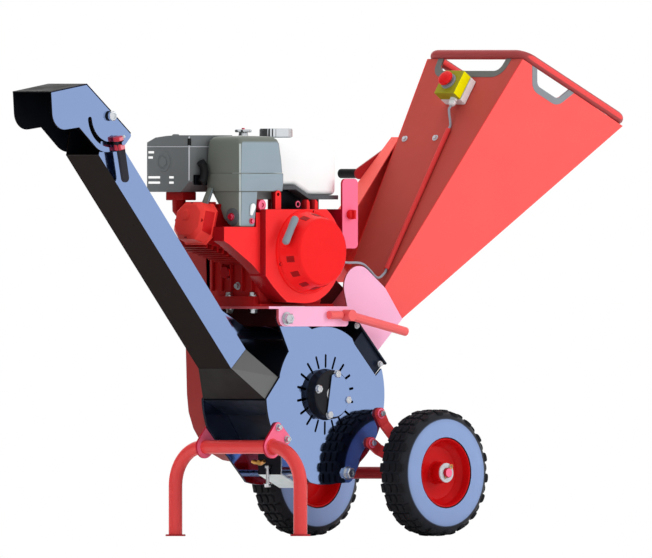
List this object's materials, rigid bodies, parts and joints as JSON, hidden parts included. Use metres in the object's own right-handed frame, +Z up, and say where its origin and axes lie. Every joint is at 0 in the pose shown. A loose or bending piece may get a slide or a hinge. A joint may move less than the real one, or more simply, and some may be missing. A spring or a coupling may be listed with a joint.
{
  "type": "garden shredder",
  "caption": "Compact petrol-engined garden shredder: tapered hopper, knife rotor in a housing, belt drive, tall discharge chute with a tilting hood, two wheels and a stand.",
  "frame": {"origin": "On the ground under the middle of the machine's box.", "axes": "+Z is up. +X runs from the discharge chute to the hopper and the wheels. -Y is the near side, with the recoil starter, and +Y the far side, with the belt guard."},
  "size_m": [1.8955, 0.549, 1.1895],
  "materials": {
    "red_gloss_paint": "gloss",
    "red_powder_coat": "satin",
    "hopper_red_coat": "satin",
    "pale_red_coat": "satin",
    "black_gloss_coat": "gloss",
    "blue_black_coat": "gloss",
    "black_rubber": "matte",
    "black_tyre_rubber": "matte",
    "grey_plastic": "satin",
    "white_tank_paint": "satin",
    "zinc_plated_steel": "satin",
    "dark_steel": "matte",
    "chrome": "polished",
    "yellow_plastic": "satin",
    "grey_cable_sheath": "matte"
  },
  "bodies": {
    "chassis": {"air_cleaner_base": "grey_plastic", "air_cleaner_cover": "grey_plastic", "axle": "zinc_plated_steel", "belt_guard": "red_powder_coat", "cable_conduit": "red_powder_coat", "casing_lower_sheet": "dark_steel", "casing_upper_sheet": "dark_steel", "chute_transition": "black_gloss_coat", "crankcase": "red_gloss_paint", "cylinder": "dark_steel", "deck_bolt": "zinc_plated_steel", "discharge_chute": "black_gloss_coat", "drive_belt": "black_rubber", "engine_deck": "pale_red_coat", "fan_cover": "red_gloss_paint", "far_axle_strut": "red_powder_coat", "far_bearing": "dark_steel", "far_side_plate": "black_gloss_coat", "fuel_tank": "white_tank_paint", "hopper_brace": "red_powder_coat", "hopper_far_wall": "hopper_red_coat", "hopper_lower_wall": "hopper_red_coat", "hopper_near_wall": "hopper_red_coat", "hopper_upper_wall": "red_powder_coat", "infeed_box": "pale_red_coat", "infeed_collar": "black_gloss_coat", "lower_tie_bolt": "zinc_plated_steel", "muffler": "dark_steel", "near_axle_strut": "red_powder_coat", "near_bearing": "dark_steel", "near_side_plate": "blue_black_coat", "recoil_cover": "red_gloss_paint", "rim_tube": "red_powder_coat", "stand": "red_powder_coat", "stop_box": "yellow_plastic", "stop_cable": "grey_cable_sheath", "switch_panel": "pale_red_coat", "under_bracket": "zinc_plated_steel", "valve_cover": "red_gloss_paint"},
    "rotor_set": {"rotor": "dark_steel", "rotor_shaft": "zinc_plated_steel", "rotor_pulley": "dark_steel"},
    "crankshaft_set": {"crankshaft": "zinc_plated_steel"},
    "near_wheel": {"near_tyre": "black_tyre_rubber", "near_rim": "red_gloss_paint"},
    "far_wheel": {"far_tyre": "black_tyre_rubber", "far_rim": "red_gloss_paint"},
    "deflector_hood": {"deflector": "black_gloss_coat"},
    "deflector_clamp": {"clamp_lever": "red_gloss_paint"},
    "belt_tensioner": {"tension_lever": "red_gloss_paint"},
    "starter_pull": {"starter_grip": "grey_plastic"},
    "cleaner_wing_nut": {"air_cleaner_nut": "zinc_plated_steel"},
    "tank_cap": {"fuel_cap": "chrome"},
    "ignition_switch": {"engine_switch": "red_gloss_paint"},
    "choke": {"choke_lever": "grey_plastic"},
    "rubber_curtain": {"splash_curtain": "black_rubber"},
    "emergency_button": {"stop_button": "red_gloss_paint"},
    "side_lever": {"feed_lever": "red_powder_coat", "feed_lever_grip": "black_rubber"}
  },
  "joints": [
    {"name": "rotor_spin", "type": "hinge", "parent": "chassis", "child": "rotor_set", "pos_m": [-0.0457, 0, 0.3465], "axis": [0, 1, 0], "continuous": true},
    {"name": "crank_spin", "type": "hinge", "parent": "chassis", "child": "crankshaft_set", "pos_m": [-0.1287, 0, 0.696], "axis": [0, 1, 0], "continuous": true},
    {"name": "near_wheel_spin", "type": "hinge", "parent": "chassis", "child": "near_wheel", "pos_m": [0.2213, -0.2225, 0.155], "axis": [0, 1, 0], "continuous": true},
    {"name": "far_wheel_spin", "type": "hinge", "parent": "chassis", "child": "far_wheel", "pos_m": [0.2213, 0.2225, 0.155], "axis": [0, 1, 0], "continuous": true},
    {"name": "deflector_tilt", "type": "hinge", "parent": "chassis", "child": "deflector_hood", "pos_m": [-0.7437, 0, 1.028], "axis": [0, -1, 0], "range_deg": [0, 60]},
    {"name": "clamp_turn", "type": "hinge", "parent": "chassis", "child": "deflector_clamp", "pos_m": [-0.72207, -0.067, 0.96143], "axis": [0, 1, 0], "range_deg": [0, 60]},
    {"name": "tension_lift", "type": "hinge", "parent": "chassis", "child": "belt_tensioner", "pos_m": [0.0123, -0.1376, 0.54], "axis": [0, -1, 0], "range_deg": [0, 35]},
    {"name": "starter_pull_slide", "type": "slide", "parent": "chassis", "child": "starter_pull", "axis": [-0.7834, -0.4262, 0.4523], "range_m": [0, 0.5], "stiffness_N_per_m": 20, "springref_m": -0.1},
    {"name": "wing_nut_turn", "type": "hinge", "parent": "chassis", "child": "cleaner_wing_nut", "pos_m": [-0.2702, -0.054, 0.9793], "axis": [0, 0, 1], "range_deg": [0, 360]},
    {"name": "tank_cap_turn", "type": "hinge", "parent": "chassis", "child": "tank_cap", "pos_m": [-0.1033, 0, 0.9743], "axis": [0, 0, 1], "range_deg": [0, 90]},
    {"name": "ignition_turn", "type": "hinge", "parent": "chassis", "child": "ignition_switch", "pos_m": [0.0393, -0.1136, 0.7867], "axis": [0, -1, 0], "range_deg": [0, 60]},
    {"name": "choke_turn", "type": "hinge", "parent": "chassis", "child": "choke", "pos_m": [-0.2947, -0.1103, 0.806], "axis": [0, -1, 0], "range_deg": [0, 60]},
    {"name": "curtain_swing", "type": "hinge", "parent": "chassis", "child": "rubber_curtain", "pos_m": [0.16164, 0, 0.56375], "axis": [0, 1, 0], "range_deg": [0, 35]},
    {"name": "stop_press", "type": "slide", "parent": "chassis", "child": "emergency_button", "axis": [0.823, 0, -0.568], "range_m": [0, 0.006], "stiffness_N_per_m": 300, "springref_m": -0.002},
    {"name": "side_lever_swing", "type": "hinge", "parent": "chassis", "child": "side_lever", "pos_m": [0.4563, 0.1633, 0.935], "axis": [0, -1, 0], "range_deg": [0, 40]}
  ],
  "couplings": [
    {"joint": "crank_spin", "follows": "rotor_spin", "ratio": 1.6}
  ]
}
